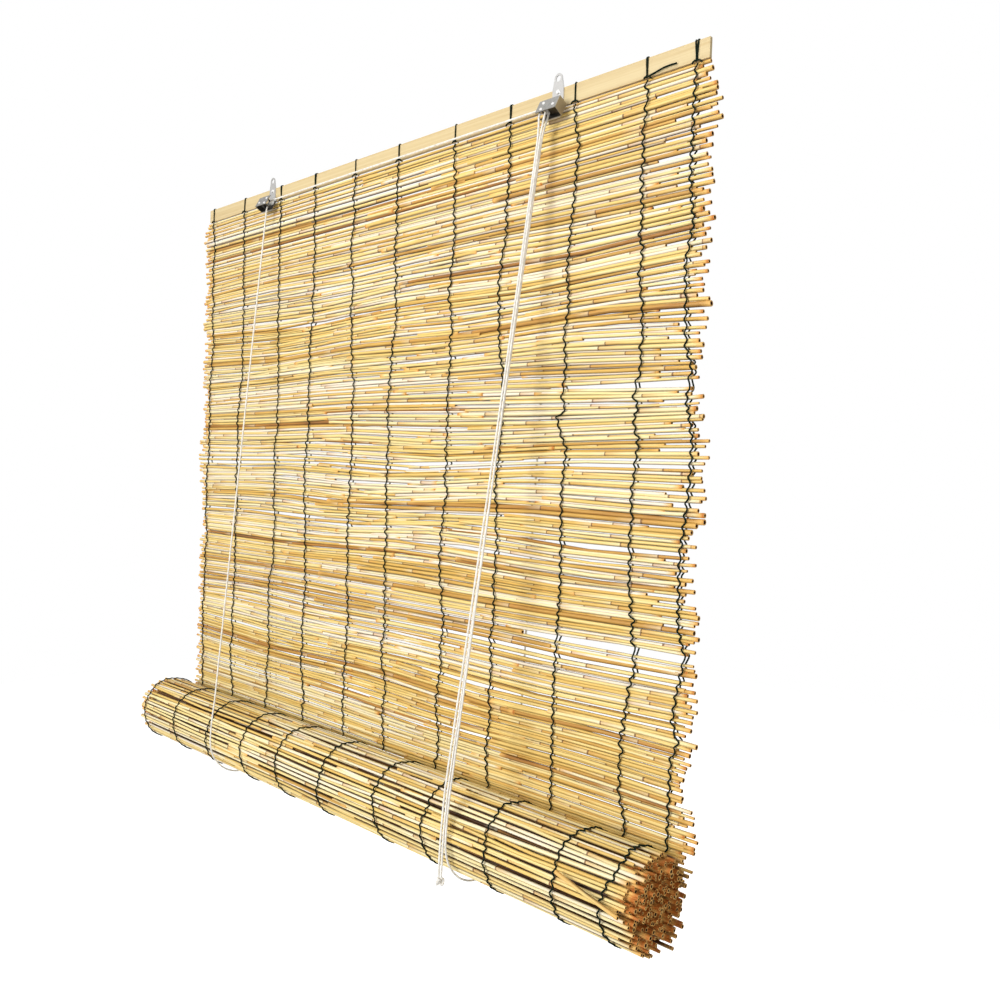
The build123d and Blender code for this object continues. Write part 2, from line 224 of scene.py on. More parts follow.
# %% World
plain_white = (1, 1, 1, 1)
seen_light = 1.0
felt_light = 0.24
world = bpy.data.worlds.new("studio")
bpy.context.scene.world = world
world.use_nodes = True
sky = world.node_tree
sky.nodes.clear()


def sky_node(kind, inputs, operation=None):
    """A node of the world, with its inputs linked or set."""
    node = sky.nodes.new(kind)
    if operation:
        node.operation = operation
    for key, value in inputs.items():
        if isinstance(value, bpy.types.NodeSocket):
            sky.links.new(value, node.inputs[key])
        else:
            node.inputs[key].default_value = value
    return node.outputs


rays = sky_node("ShaderNodeLightPath", {})
direct = sky_node("ShaderNodeMath", {0: rays["Is Camera Ray"], 1: rays["Is Transmission Ray"]}, "MAXIMUM")[0]
seen = sky_node("ShaderNodeMath", {0: direct, 1: rays["Is Glossy Ray"]}, "MAXIMUM")[0]
soft = sky_node("ShaderNodeBackground", {"Color": plain_white, "Strength": felt_light})[0]
plain = sky_node("ShaderNodeBackground", {"Color": plain_white, "Strength": seen_light})[0]
either = sky_node("ShaderNodeMixShader", {"Fac": seen, 1: soft, 2: plain})[0]
sky_node("ShaderNodeOutputWorld", {"Surface": either})
print("world made")

# %% Lamps and floor
# Each lamp has its power in watts, its width, its place and the spot it looks at.
lamps = [("front_softbox", 60, 1.1, (-0.15, -2.7, 0.05), (0.15, 0, -0.60)),
         ("top_softbox", 9, 0.9, (0.1, -0.75, 1.1), (0.1, -0.03, -0.83)),
         ("side_fill", 15, 1.2, (2.5, -1.3, -0.5), (0.5, 0, -0.7)),
         ("back_fill", 26, 1.4, (-0.5, 2.6, 0.3), (0, 0, -0.5))]
for name, energy, size, place, target in lamps:
    lamp_data = bpy.data.lights.new(name, "AREA")
    lamp_data.energy = energy
    lamp_data.size = size
    lamp = bpy.data.objects.new(name, lamp_data)
    lamp.location = place
    lamp.rotation_mode = "QUATERNION"
    lamp.rotation_quaternion = (Vector(target) - lamp.location).to_track_quat("-Z", "Y")
    bpy.context.scene.collection.objects.link(lamp)

floor_half = 4
floor_at = Matrix.Translation((0, 0, -1.6))
floor_mesh = bpy.data.meshes.new("floor")
sheet = bmesh.new()
bmesh.ops.create_grid(sheet, x_segments=1, y_segments=1, size=floor_half, matrix=floor_at)
sheet.to_mesh(floor_mesh)
sheet.free()
floor = bpy.data.objects.new("floor", floor_mesh)
bpy.context.scene.collection.objects.link(floor)
floor_finish = Finish("pale_floor")
looking = floor_finish.add("ShaderNodeLightPath").part("Is Camera Ray")
glow = floor_finish.mix(looking, (0, 0, 0), (0.85, 0.85, 0.85))
floor_finish.set(Base_Color=(0.8, 0.8, 0.8, 1), Roughness=0.8, Emission_Color=glow, Emission_Strength=1.0)
show(floor, floor_finish)
print(len(lamps), "lamps and a floor made")

# %% [markdown]
# White cord
#
# The cord is a thin white braid. It is one smooth line per run, drawn as a spline whose control points are the
# points of its route, with a round bevel. The runs that shorten when the roll goes up have to be meshes, so
# every run is turned into a mesh. A set of fine slanting stripes gives the bump of the braid.

# %% Cord finish and cord maker
cord_finish = Finish("white_braid")
spot = cord_finish.place()
coarse = cord_finish.noise(spot, 260, 2)
fine = cord_finish.add("ShaderNodeTexWave", {"wave_type": "BANDS", "bands_direction": "DIAGONAL"},
                       {"Vector": spot, "Scale": 420, "Distortion": 1.5})
white = cord_finish.ramp(coarse, [(0.3, (0.74, 0.70, 0.62)), (0.65, (0.93, 0.91, 0.86))])
cord_finish.set(Base_Color=white, Roughness=0.85, Normal=cord_finish.dent(fine, 0.5, 0.0004))
cord_thick = 0.0025
cord_steps = 6


def soft_line(name, points, steps, closed=False):
    """A curve with the points as the control points of one smooth spline."""
    curve = bpy.data.curves.new(name, "CURVE")
    curve.dimensions = "3D"
    line = curve.splines.new("NURBS")
    line.points.add(len(points) - 1)
    for point, where in zip(line.points, points):
        point.co = (*where, 1)
    line.order_u = 3
    line.use_endpoint_u = not closed
    line.use_cyclic_u = closed
    line.resolution_u = steps
    return curve


def rounded(curve, thick, sides):
    """The same curve with a section of four, six or eight sides."""
    curve.bevel_depth = thick / 2
    curve.bevel_resolution = sides // 2 - 2
    curve.use_fill_caps = True
    return curve


def as_mesh(name, curve):
    """The curve as a mesh."""
    holder = bpy.data.objects.new(name + "_line", curve)
    bpy.context.scene.collection.objects.link(holder)
    bpy.context.view_layer.update()
    mesh = bpy.data.meshes.new_from_object(holder.evaluated_get(bpy.context.evaluated_depsgraph_get()))
    bpy.data.objects.remove(holder)
    return mesh


def settle(name, mesh, finish, body, nodes):
    """A finished piece made of a mesh, on its body and in place of its measured solids."""
    piece = bpy.data.objects.new(name, mesh)
    bpy.context.scene.collection.objects.link(piece)
    show(piece, finish)
    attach(piece, body)
    if nodes:
        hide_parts(*nodes)
    return piece


def lay_cord(node, points, body):
    """One run of cord in place of its measured solid."""
    bare = as_mesh(node, soft_line(node, points, cord_steps))
    centre = [tuple(v.co) for v in bare.vertices]
    reach = sum((Vector(a) - Vector(b)).length for a, b in zip(centre, centre[1:]))
    mesh = as_mesh(node, rounded(soft_line(node, points, cord_steps), cord_thick, 8))
    mesh.shade_smooth()
    piece = settle(node + "_braid", mesh, cord_finish, body, [node])
    return piece, reach


print("cord maker ready")

# %% [markdown]
# Where the cords run
#
# Each lift cord starts at a knot behind the rail, goes down behind the mat, under the roll and up the front.
# The right one turns over the lock's outer wheel. The left one turns over its own wheel, runs along the rail
# and turns over the lock's inner wheel. Both come down again in front of the roll as pull cords. Below the
# lock the three strands are drawn close together, and they part again above the roll.

# %% Cord routes
lift_start = (0.29608, -0.01846, -0.04758)
lift_brow = (0.26225, -0.10219, -0.8204)
pull_start = (0.28758, -0.01846, -0.04758)
pull_brow = (0.25375, -0.10219, -0.8204)
cross_start = (0.29605, -0.01337, -0.0503)
cross_brow = (0.2581, -0.10184, -0.8204)
left_start = (-0.29608, -0.01337, -0.0503)
left_brow = (-0.26225, -0.10184, -0.8204)
over_outer_wheel = [lift_start, (0.29625, -0.01803, -0.04361), (0.29625, -0.01069, -0.02979),
                    (0.28775, -0.01069, -0.02979), (0.28775, -0.01803, -0.04361), pull_start]
along_rail = [left_start, (-0.29625, -0.01291, -0.04633), (-0.29625, -0.00556, -0.03252),
              (-0.281, -0.00556, -0.03252), (0.281, -0.00556, -0.03252), (0.29625, -0.00556, -0.03252),
              (0.29625, -0.01291, -0.04633), cross_start]
tail_y = -0.10845
tail_low = -0.922
lift_drawn = [(0.2936, -0.0205, -0.0640), (0.2915, -0.0242, -0.1000), (0.2792, -0.0567, -0.4000)]
pull_drawn = [(0.2900, -0.0205, -0.0640), (0.2886, -0.0242, -0.1000), (0.2755, -0.0567, -0.4000)]
cross_drawn = [(0.2915, -0.0154, -0.0640), (0.2900, -0.0192, -0.1000), (0.2770, -0.0536, -0.4000)]
right_ear = (0.29625, 0.00765, -0.0276)
left_ear = (-0.29625, 0.00765, -0.0276)
right_behind = (0.26225, 0.00765, -0.8733)
left_behind = (-0.26225, 0.00765, -0.8733)


def under_roll(brow, behind):
    """Flat turns that hug the roll from the front, under it and up behind the mat."""
    x = brow[0]
    return [brow, (x, -0.1074, -0.8577), (x, -0.1074, -0.9049), (x, -0.0740, -0.9383), (x, -0.0268, -0.9383),
            (x, 0.0066, -0.9049), behind]


def down_tail(brow):
    """From the brow over the roll's front and straight down to the knot."""
    return [brow, (brow[0], tail_y, -0.8773), (brow[0], tail_y, tail_low)]


# %% Cords laid
cords = {}
lengths = {}
plan = [
    ("right_wheel_cord", over_outer_wheel, "headrail"),
    ("cross_cord", along_rail, "headrail"),
    ("right_lift_front", [lift_start, *lift_drawn, lift_brow], "headrail"),
    ("left_lift_front", [left_start, left_brow], "headrail"),
    ("right_pull_upper", [pull_start, *pull_drawn, pull_brow], "headrail"),
    ("left_pull_upper", [cross_start, *cross_drawn, cross_brow], "headrail"),
    ("right_lift_back", [right_ear, right_behind], "headrail"),
    ("left_lift_back", [left_ear, left_behind], "headrail"),
    ("right_sling", under_roll(lift_brow, right_behind), "slings"),
    ("left_sling", under_roll(left_brow, left_behind), "slings"),
    ("right_pull_tail", down_tail(pull_brow), "slings"),
    ("left_pull_tail", down_tail(cross_brow), "slings"),
]
for node, points, body in plan:
    cords[node], lengths[node] = lay_cord(node, points, body)
print("cord lengths", {node: round(length, 3) for node, length in lengths.items()})

# %% [markdown]
# The cord runs that shorten
#
# When the roll is pulled up, the upright runs get shorter. Each of those runs gets a mesh of its own.

# %% Cord runs with their own meshes
roll_rise = 0.74


def shorten(piece, top, bottom):
    """Give a piece a mesh of its own."""
    1 - roll_rise / (top - bottom)
    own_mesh(piece)


upright = ("lift_front", "pull_upper", "lift_back")
for node, points, body in plan:
    if node.endswith(upright):
        shorten(cords[node], points[0][2], points[-1][2])

# %% [markdown]
# Knots
#
# The pull cords end in one fat overhand knot, and each lift cord is stopped by a small one on its ear behind
# the rail. A knot is a closed line with three lobes, made round by a bevel, which reads as a knot from any
# side.

# %% Knots
knot_points = 18
knot_steps = 4


def tie_knot(name, node, body, centres, wide, high, thick):
    """Three-lobed knots in place of a plain measured solid."""
    whole = bmesh.new()
    for centre in centres:
        points = []
        for index in range(knot_points):
            t = 2 * math.pi * index / knot_points
            x = (math.sin(t) + 2 * math.sin(2 * t)) / 3 * (wide / 2 - thick / 2)
            y = (math.cos(t) - 2 * math.cos(2 * t)) / 3 * (wide / 2 - thick / 2)
            z = -math.sin(3 * t) * (high / 2 - thick / 2)
            points.append((centre[0] + x, centre[1] + y, centre[2] + z))
        whole.from_mesh(as_mesh(name, rounded(soft_line(name, points, knot_steps, closed=True), thick, 8)))
    mesh = bpy.data.meshes.new(name)
    whole.to_mesh(mesh)
    whole.free()
    mesh.shade_smooth()
    settle(name, mesh, cord_finish, body, [node])


tail_end = (0.255925, tail_y, -0.9265)
ear_rise = 0.002
tie_knot("tail_knot", "pull_knot", "slings", [tail_end], 0.0118, 0.0096, 0.0034)
ears = [(ear[0], ear[1], ear[2] + ear_rise) for ear in (right_ear, left_ear)]
tie_knot("ear_knots", "lift_cord_knots", "headrail", ears, 0.0042, 0.0042, 0.0016)
print("knots tied")

# %% [markdown]
# Reed skin
#
# Dry reed runs from amber over pale straw to a nearly white grey-beige, and each stalk has its own tone. That
# palest grey-beige is painted shade: it stands for a white wall in the mat's shadow, seen through the seams.
# Fine lengthwise streaks lie on a satin skin. A thin brown ring marks each joint, stained amber on one side of
# it and with a pale papery sheath on the other. Each stalk carries a tone and a shift on its points, so that
# one material serves them all. A third number rises from the stained end over the pale rim of the cut to the
# painted shade of the dark hollow. A fourth paints shade on the sides where the stalk lies against its
# neighbours, under a reed of the mat and on the inner face of a wound one.

# %% Reed finish
reed_finish = Finish("reed_skin")
spot = reed_finish.place()
tone = reed_finish.tag("reed_tone")
shift = reed_finish.tag("reed_shift")
tip = reed_finish.tag("reed_tip")
seam_shade = reed_finish.tag("reed_seam")
along = reed_finish.add("ShaderNodeSeparateXYZ", {}, {"Vector": spot}).part("X")
aside = reed_finish.add("ShaderNodeCombineXYZ", {}, {"X": shift * 3.1, "Y": shift * 1.7, "Z": shift * 5.3})
own = reed_finish.add("ShaderNodeVectorMath", {"operation": "ADD"}, {0: spot, 1: aside})
streaks = reed_finish.noise(reed_finish.stretched(own, (9, 1100, 1100)), 1.0, 4, 0.6)
patches = reed_finish.noise(reed_finish.stretched(own, (7, 60, 60)), 1.0, 3, 0.6)
depth = tone * 0.80 + patches * 0.38 + streaks * 0.36 - 0.28
straw = reed_finish.ramp(depth, [
    (0.00, (0.045, 0.013, 0.002)),
    (0.20, (0.41, 0.175, 0.024)),
    (0.42, (0.70, 0.420, 0.085)),
    (0.65, (0.86, 0.615, 0.190)),
    (0.85, (0.92, 0.740, 0.330)),
    (0.97, (0.95, 0.840, 0.520)),
    # Painted shade: the top stop, a nearly white grey-beige, stands for a white wall in the mat's shadow.
    (1.00, (0.93, 0.815, 0.640)),
])

# %% Joints on the reeds
ring_half = 0.0042
beat = (along * (3.0 + shift * 2.6) + shift * 7.3).fract()
past = beat - 0.5
ring = past.size().under(ring_half)
after = (past * -7.0 + 1.0).held() * past.over(0.0)
before = (past * 9.0 + 1.0).held() * past.under(0.0)
stained = reed_finish.mix(after * 0.55, straw, (0.58, 0.270, 0.050))
sheathed = reed_finish.mix(before * patches * 0.8, stained, (0.93, 0.840, 0.580))
ringed = reed_finish.mix(ring * 0.85, sheathed, (0.17, 0.062, 0.014))
# Painted shade: the sides where a reed meets its neighbours, and its underside, turn dark brown.
seam_shaded = reed_finish.mix((seam_shade * 1.1).held(), ringed, (0.060, 0.018, 0.002))
# Cut ends: amber staining, a pale rim, and near-black painted shade inside the hollow.
amber = reed_finish.ramp(tip, [
    (0.30, (0.78, 0.450, 0.120)),
    (0.45, (0.52, 0.165, 0.019)),
    (1.00, (0.050, 0.013, 0.002)),
])
tipped = reed_finish.mix((tip * 3.2).held(), seam_shaded, amber)
raised = reed_finish.dent(streaks + ring * 0.8, 0.4, 0.0006)
reed_finish.set(Base_Color=tipped, Roughness=patches * 0.25 + tip * 0.4 + 0.36, Normal=raised)
print("reed skin made")

# %% [markdown]
# One reed
#
# A reed is a thin tube. It starts as a ring of eight points deep in the hollow, which is drawn out to the cut
# end, widened to the outer skin, drawn along the stalk in a few steps, and closed the same way at the far
# end. A narrow rim on both sides of the cut keeps the pale edge apart from the painted shade of the hollow. A
# few dozen faces are enough, because the material brings the joints and the streaks.

# %% Reed builder
reed_sides = 8
reed_wall = 0.0005
hollow_share = 0.86
hollow_depth = 0.0025
rim_share = 0.12
rim_dark = 0.3
# Painted shade level inside the hollow of each reed.
hollow_shade = 1.0
crease = math.radians(50)
tags = ("reed_tone", "reed_shift", "reed_tip", "reed_seam")


def grow_reed(bm, stations, radius, reed, end_stain_and_shade, facing):
    """A hollow stalk along X. Facing tells how far a side looks outwards; the less it does, the more painted
    shade it gets.
    """
    layers = bm.verts.layers.float
    tone_tag, shift_tag, tip_tag, seam_shade_tag = [layers.get(tag) or layers.new(tag) for tag in tags]
    places = [Vector(place) for place in stations]
    first, last = places[0], places[-1]
    deep = Vector((min(hollow_depth, (last - first).length / 4), 0, 0))
    inner = radius * hollow_share - reed_wall
    thin = reed["taper"] / (last - first).length
    wide = [radius * (1 + reed["taper"] / 2 - thin * (place - first).length) for place in places]
    rim = deep * rim_share
    rings = [(first + deep, inner, hollow_shade), (first + rim, inner, hollow_shade), (first, inner, rim_dark),
             (first, wide[0], rim_dark), (first + rim, wide[0], end_stain_and_shade)]
    rings += [(place, across, 0.0) for place, across in zip(places[1:-1], wide[1:-1])]
    rings += [(last - rim, wide[-1], end_stain_and_shade), (last, wide[-1], rim_dark), (last, inner, rim_dark),
              (last - rim, inner, hollow_shade), (last - deep, inner, hollow_shade)]
    centre, size, dark = rings[0]
    start = Matrix.Translation(centre) @ Matrix.Rotation(math.pi / 2, 4, "Y")
    hole = bmesh.ops.create_circle(bm, cap_ends=True, segments=reed_sides, radius=size, matrix=start)
    verts = hole["verts"]
    edges = list({edge for vert in verts for edge in vert.link_edges})
    grown = list(verts)
    for vert in verts:
        vert[tip_tag] = dark
    for place, across, dark in rings[1:]:
        made = bmesh.ops.extrude_edge_only(bm, edges=edges)["geom"]
        verts = [item for item in made if isinstance(item, bmesh.types.BMVert)]
        edges = [item for item in made if isinstance(item, bmesh.types.BMEdge)]
        for vert in verts:
            aside = vert.co - centre
            vert.co = place + aside * (across / size)
            vert[tip_tag] = dark
            # Painted shade on the sides that face less outwards.
            vert[seam_shade_tag] = 1 - min(1.0, max(0.0, facing(aside.normalized())))
        centre, size = place, across
        grown += verts
    bmesh.ops.contextual_create(bm, geom=edges)
    for vert in grown:
        vert[tone_tag] = reed["tone"]
        vert[shift_tag] = reed["shift"]


def join(whole, part):
    """Move a small mesh into a large one, which stays quick when there are many."""
    mesh = bpy.data.meshes.new("part")
    part.to_mesh(mesh)
    part.free()
    whole.from_mesh(mesh)
    bpy.data.meshes.remove(mesh)


def put_out(bm, name, finish, body, nodes):
    """Turn a bmesh into a finished piece on its body."""
    bmesh.ops.recalc_face_normals(bm, faces=bm.faces)
    mesh = bpy.data.meshes.new(name)
    bm.to_mesh(mesh)
    bm.free()
    mesh.shade_smooth()
    mesh.set_sharp_from_angle(angle=crease)
    print(name, len(mesh.polygons), "faces")
    return settle(name, mesh, finish, body, nodes)


# %% [markdown]
# How the mat hangs
#
# No two reeds are alike, so each stalk gets a thickness, a taper and a tone of its own. The rows lie at
# uneven steps that are scaled to fill the mat's height. Bundles of rows sag and rise together along the
# width, which a few slow waves give. In three places the rows are pushed apart, where daylight shows through
# the real mat. No stalk is as long as the blind, so a row is two or three of them, whose ends lie side by
# side for up to a hand's width.

# %% Rows of the mat
pitch = 0.00605
row_count = 140
mat_top = -0.034
mat_y = 0.0026
mat_bottom = mat_top - pitch * row_count
chance = random.Random(41)
amber_rows = {41, 78, 97, 118}
tone_limit = 1.1
wave_turn = 6.28
wave_height = 0.0019
split_rows = 5


def one_reed(index):
    """Thickness, taper, tone and shift of one stalk."""
    amber = index in amber_rows
    kind = chance.random()
    middle = 0.68
    if amber or kind < 0.20:
        middle = 0.34
    elif kind > 0.76:
        middle = 0.98
    return {
        "thick": chance.uniform(0.0054, 0.0064) if amber else chance.triangular(0.0030, 0.0062, 0.0044),
        "taper": chance.uniform(-0.32, 0.32),
        "tone": min(tone_limit, max(0.1, chance.gauss(middle, 0.12))),
        "shift": chance.random(),
    }


def share_out(left, right, longest=0.80):
    """Split a row into stalks that overlap a little at their ends, each with the side it keeps to."""
    stalks = []
    side = chance.choice((-1, 1))
    start = left
    while start < right:
        stop = start + chance.uniform(0.30, longest)
        stop = right if stop > right - 0.15 else stop
        stalks.append((start, stop, side))
        start = right if stop == right else stop - chance.uniform(0.02, 0.09)
        side = -side
    return stalks


steps = [chance.triangular(0.0044, 0.0082, 0.0056) for row in range(row_count)]
fill = (mat_top - mat_bottom) / sum(steps)
rows = []
height = mat_top
for step in steps:
    rows.append(height - step / 2 * fill)
    height -= step * fill
waves = []
for wave in range(5):
    waves.append((chance.uniform(0.6, 2.6), chance.uniform(1.5, 6.5), chance.uniform(0, wave_turn)))
# Each split has the row below it, its middle and its reach along X, and how far it pushes the rows.
splits = [(84, 0.42, 0.10, 0.0030), (103, 0.43, 0.12, 0.0042), (54, 0.47, 0.09, 0.0030)]
open_seams = {where - 1 for where, middle, reach, wide in splits}
print(row_count, "rows, scaled by", round(fill, 3))


# %% Height of a row at any place along it
def row_z(index, x):
    """Where a row runs at x, with its waves, its lean and the three splits."""
    down = index / (row_count - 1)
    calm = min(1.0, 6 * down, 6 * (1 - down))
    sway = sum(math.sin(wave_turn * (x * across + down * deep) + phase) for across, deep, phase in waves)
    push = 0.0
    for where, middle, reach, wide in splits:
        near = math.exp(-((x - middle) / reach) ** 2 - ((index - where) / split_rows) ** 2)
        push += wide * near * (1 if index < where else -1)
    return rows[index] + calm * wave_height * sway + push


# %% [markdown]
# The hanging mat
#
# The ends stick out past the rail by uneven amounts, as the measured mat's edge does, and some stop short of
# it. Thin stalks lie behind most of the seams, so that only some seams let daylight through. Except in the
# lowest rows, many of them are a nearly white grey-beige, painted shade that stands for a white wall in the
# mat's shadow. Behind the three splits they stop well short of the right-hand end, which leaves the splits
# open.

# %% Hanging mat
edge_mm = [1, 13, 14, 10, 11, 7, 9, 8, 9.5, 8.5, 10, 9, 3, 0, 5, 7, 13, 17, 18, 11, 4, 5, 3, 15, 14, 6, 8,
           14, 7, 12, 6, 10, 14, 17, 15]
rows_per_edge = 4
half_rail = 0.5
shortest_half = 0.493
tip_length = 0.012
greige_shade_tone = 1.6
last_greige_shade_row = 112
thin_least = 0.0030
thin_most = 0.0050
thin_share = 0.72
greige_shade_share = 0.7
backed_share = 0.96
last_bare_row = 117
back_of_mat = 0.0031
open_seam_end = 0.30


def in_mat(way):
    """How far a side faces out of the mat, tipped upwards: painted shade falls on a reed's upper and lower
    sides, most on the lower.
    """
    return abs(way.y) + 0.3 * way.z


def lay_reed(bm, index, left, right, side, thin):
    """A stalk of one row from left to right, a little off the row to one side and leaning."""
    reed = one_reed(index)
    y = mat_y + side * chance.uniform(0.0, 0.0009)
    off = side * chance.uniform(0.0, 0.0015)
    if thin:
        reed["thick"] = min(thin_most, max(thin_least, thin_share * (rows[index] - rows[index + 1])))
        # Painted shade: grey-beige that stands for a white wall in the mat's shadow, except in the lowest
        # rows.
        if index < last_greige_shade_row and chance.random() < greige_shade_share:
            reed["tone"] = greige_shade_tone
        y = mat_y + back_of_mat - reed["thick"] / 2
        off = (rows[index + 1] - rows[index]) / 2
    tilt = chance.uniform(-0.0034, 0.0034)
    third = (right - left) / 3
    stations = []
    for x in (left, left + tip_length, left + third, right - third, right - tip_length, right):
        stations.append((x, y, row_z(index, x) + off + tilt * (x - left)))
    grow_reed(bm, stations, reed["thick"] / 2, reed, chance.uniform(0.1, 0.5), in_mat)


mat = bmesh.new()
for index in range(row_count):
    edge = index // rows_per_edge
    right = max(shortest_half, half_rail + (edge_mm[edge] + chance.uniform(-12, 3)) / 1000)
    left = min(-shortest_half, -half_rail - (edge_mm[-1 - edge] + chance.uniform(-12, 3)) / 1000)
    row = bmesh.new()
    for start, stop, side in share_out(left, right):
        lay_reed(row, index, start, stop, side, False)
    if (chance.random() < backed_share or index > last_bare_row) and index + 1 < row_count:
        ending = right - chance.uniform(0.005, 0.07 if index < 100 else 0.02)
        ending = open_seam_end if index in open_seams else ending
        for start, stop, side in share_out(left + 0.01, ending):
            lay_reed(row, index, start, stop, side, True)
    join(mat, row)
hanging_mat = put_out(mat, "hanging_reeds", reed_finish, "headrail", ["reed_mat"])
shorten(hanging_mat, mat_top, mat_bottom)

# %% [markdown]
# The roll
#
# The lower half of the mat is wound on a rod in a spiral, from the back, under, to the front and over the
# top. The reeds sit on that spiral at uneven steps and lean a little, and thin ones fill the room between the
# turns. Painted shade makes the stalks of the inner turns and the thin ones nearly black, and painted light
# makes the outer ones paler. Their stained ends are uneven, so the end of the roll is a rough cluster of
# hollow amber stalks; the longer, deeper amber on the inner turns is partly real staining and partly painted
# shade. The roll is a little flat where it lies against the mat once it is raised.

# %% Places on the spiral
roll_y = -0.0504
roll_z = -0.8813
roll_outer = 0.0530
turn_pitch = 0.007452
core = 0.009
thin_room = 0.0028
flat_at = 4.80
flat_reach = 0.40
flat_depth = 0.0030
shown_half_turns = 2.1
reed_gaps = (0.0001, 0.0003, 0.0008, 0.0014, 0.0024)
wound = []
angle = 0.0
radius = roll_outer
while radius > core:
    room = chance.triangular(0.0034, 0.0052, 0.0044)
    inside = angle > 2 * math.pi
    middle = angle + room / radius / 2
    dip = flat_depth * math.exp(-((middle - flat_at) / flat_reach) ** 2)
    wound.append({"angle": middle, "radius": radius - dip, "room": room, "inside": inside})
    if chance.random() < 0.7:
        between = radius - dip - turn_pitch / 2
        wound.append({"angle": middle, "radius": between, "room": thin_room, "inside": True})
    angle += (room + chance.choice(reed_gaps)) / radius
    radius = roll_outer - turn_pitch * angle / (2 * math.pi)
last_shown = shown_half_turns * math.pi
shown = [place for place in wound if place["angle"] < last_shown and place["room"] > thin_room]


def on_roll(x, radius, turned):
    """A point at x, at a radius and an angle of the roll."""
    return (x, roll_y + radius * math.cos(turned), roll_z - radius * math.sin(turned))


print(len(wound), "reeds in", round(angle / (2 * math.pi), 2), "turns,", len(shown), "on the outside")

# %% Wound reeds
def wind_reed(bm, place, left, right):
    """A stalk of the roll from left to right, a little off its place and leaning."""
    reed = one_reed(-1)
    reed["thick"] = place["room"]
    # Painted shade and light: inner turns and thin stalks are darkened nearly to black, and outer stalks are
    # made paler.
    if place["inside"]:
        reed["thick"] *= 1.15
        reed["tone"] = reed["tone"] * 0.30 - 0.30
    else:
        reed["tone"] = min(tone_limit, reed["tone"] + 0.25)
    sunk = chance.uniform(-0.0026, 0.0001)
    # Inner turns get a longer, deeper amber end, partly real staining and partly painted shade.
    stained = 0.022 if place["inside"] else 0.015
    sways = [chance.uniform(-0.0026, 0.0026) for part in range(3)]
    asides = (sways[0], sways[0], sways[1], sways[2], sways[2])
    stations = []
    for x, aside in zip((left, left + stained, (left + right) / 2, right - stained, right), asides):
        stations.append(on_roll(x, place["radius"] + sunk, place["angle"] + aside / place["radius"]))
    # Painted shade on the sides and inner face of a wound stalk, towards its neighbours.
    outside = Vector((0, math.cos(place["angle"]), -math.sin(place["angle"]))) * 1.35
    end_stain_and_shade = chance.uniform(0.45, 0.62) if place["inside"] else chance.uniform(0.05, 0.35)
    grow_reed(bm, stations, reed["thick"] / 2, reed, end_stain_and_shade, outside.dot)


def uneven():
    """How far an end of the roll stands out or back at one stalk."""
    return min(0.013, max(-0.013, chance.gauss(0, 0.006)))


roll_half = 0.506
roll = bmesh.new()
for place in wound:
    right = roll_half + uneven()
    left = -roll_half - uneven()
    stalks = [(left, right, 0)] if place["inside"] else share_out(left, right, 0.50)
    turn = bmesh.new()
    for start, stop, side in stalks:
        wind_reed(turn, place, start, stop)
    join(roll, turn)
stray_reed = {"tone": 0.72, "shift": 0.31, "taper": 0.1}
stray = [on_roll(0.4228, 0.0592, 3.471), on_roll(0.4645, 0.0598, 3.32), on_roll(0.5028, 0.0592, 3.171)]
grow_reed(roll, stray, 0.0022, stray_reed, 0.3, Vector((0, -1, 0)).dot)
put_out(roll, "wound_reeds", reed_finish, "roll", ["reed_roll"])

# %% [markdown]
# Twine
#
# Two dark green threads bind each column, one in front and one behind. They meet between the reeds and step
# from side to side, so the front shows a zigzag line. The columns wander sideways. The right one and the
# third from the right follow kinks that were read off the photo. The front thread goes on round the roll, and
# a loop of it ties the mat to the rail, with a knot and two short ends under the rail.

# %% Twine finish and thread tube
twine_finish = Finish("green_twine")
spot = twine_finish.place()
worn = twine_finish.noise(spot, 900, 3)
green = twine_finish.ramp(worn, [(0.3, (0.002, 0.005, 0.003)), (0.75, (0.012, 0.024, 0.014))])
twist = twine_finish.add("ShaderNodeTexWave", {"bands_direction": "DIAGONAL"}, {"Vector": spot, "Scale": 700})
lay_of_twine = twine_finish.dent(twist, 0.5, 0.0003)
twine_finish.set(Base_Color=green, Roughness=0.9, Specular_IOR_Level=0.1, Normal=lay_of_twine)
twine_columns = [0.4855, 0.4245, 0.326, 0.225, 0.127, 0.015, -0.082, -0.182, -0.275, -0.385, -0.4855]
twine_thick = 0.0019
twine_steps = 2
zigzag = 0.0023
over_reed = 0.0042
between_reeds = 0.0032
column_pull = 0.95


def thread(bm, points):
    """A thin tube of thread that bends softly past the points, added to a mesh."""
    bm.from_mesh(as_mesh("thread", rounded(soft_line("thread", points, twine_steps), twine_thick, 6)))


def wander(count, step):
    """A slow sideways walk that keeps near its column."""
    places = [0.0]
    while len(places) < count:
        places.append(places[-1] * column_pull + chance.gauss(0, step))
    return places


def kinked(kinks):
    """Sideways places of a column, row by row, between kinks given as row and millimetres."""
    places = []
    for (row, aside), (next_row, next_aside) in zip(kinks, kinks[1:]):
        for step in range(next_row - row):
            places.append((aside + (next_aside - aside) * step / (next_row - row)) / 1000)
    return places


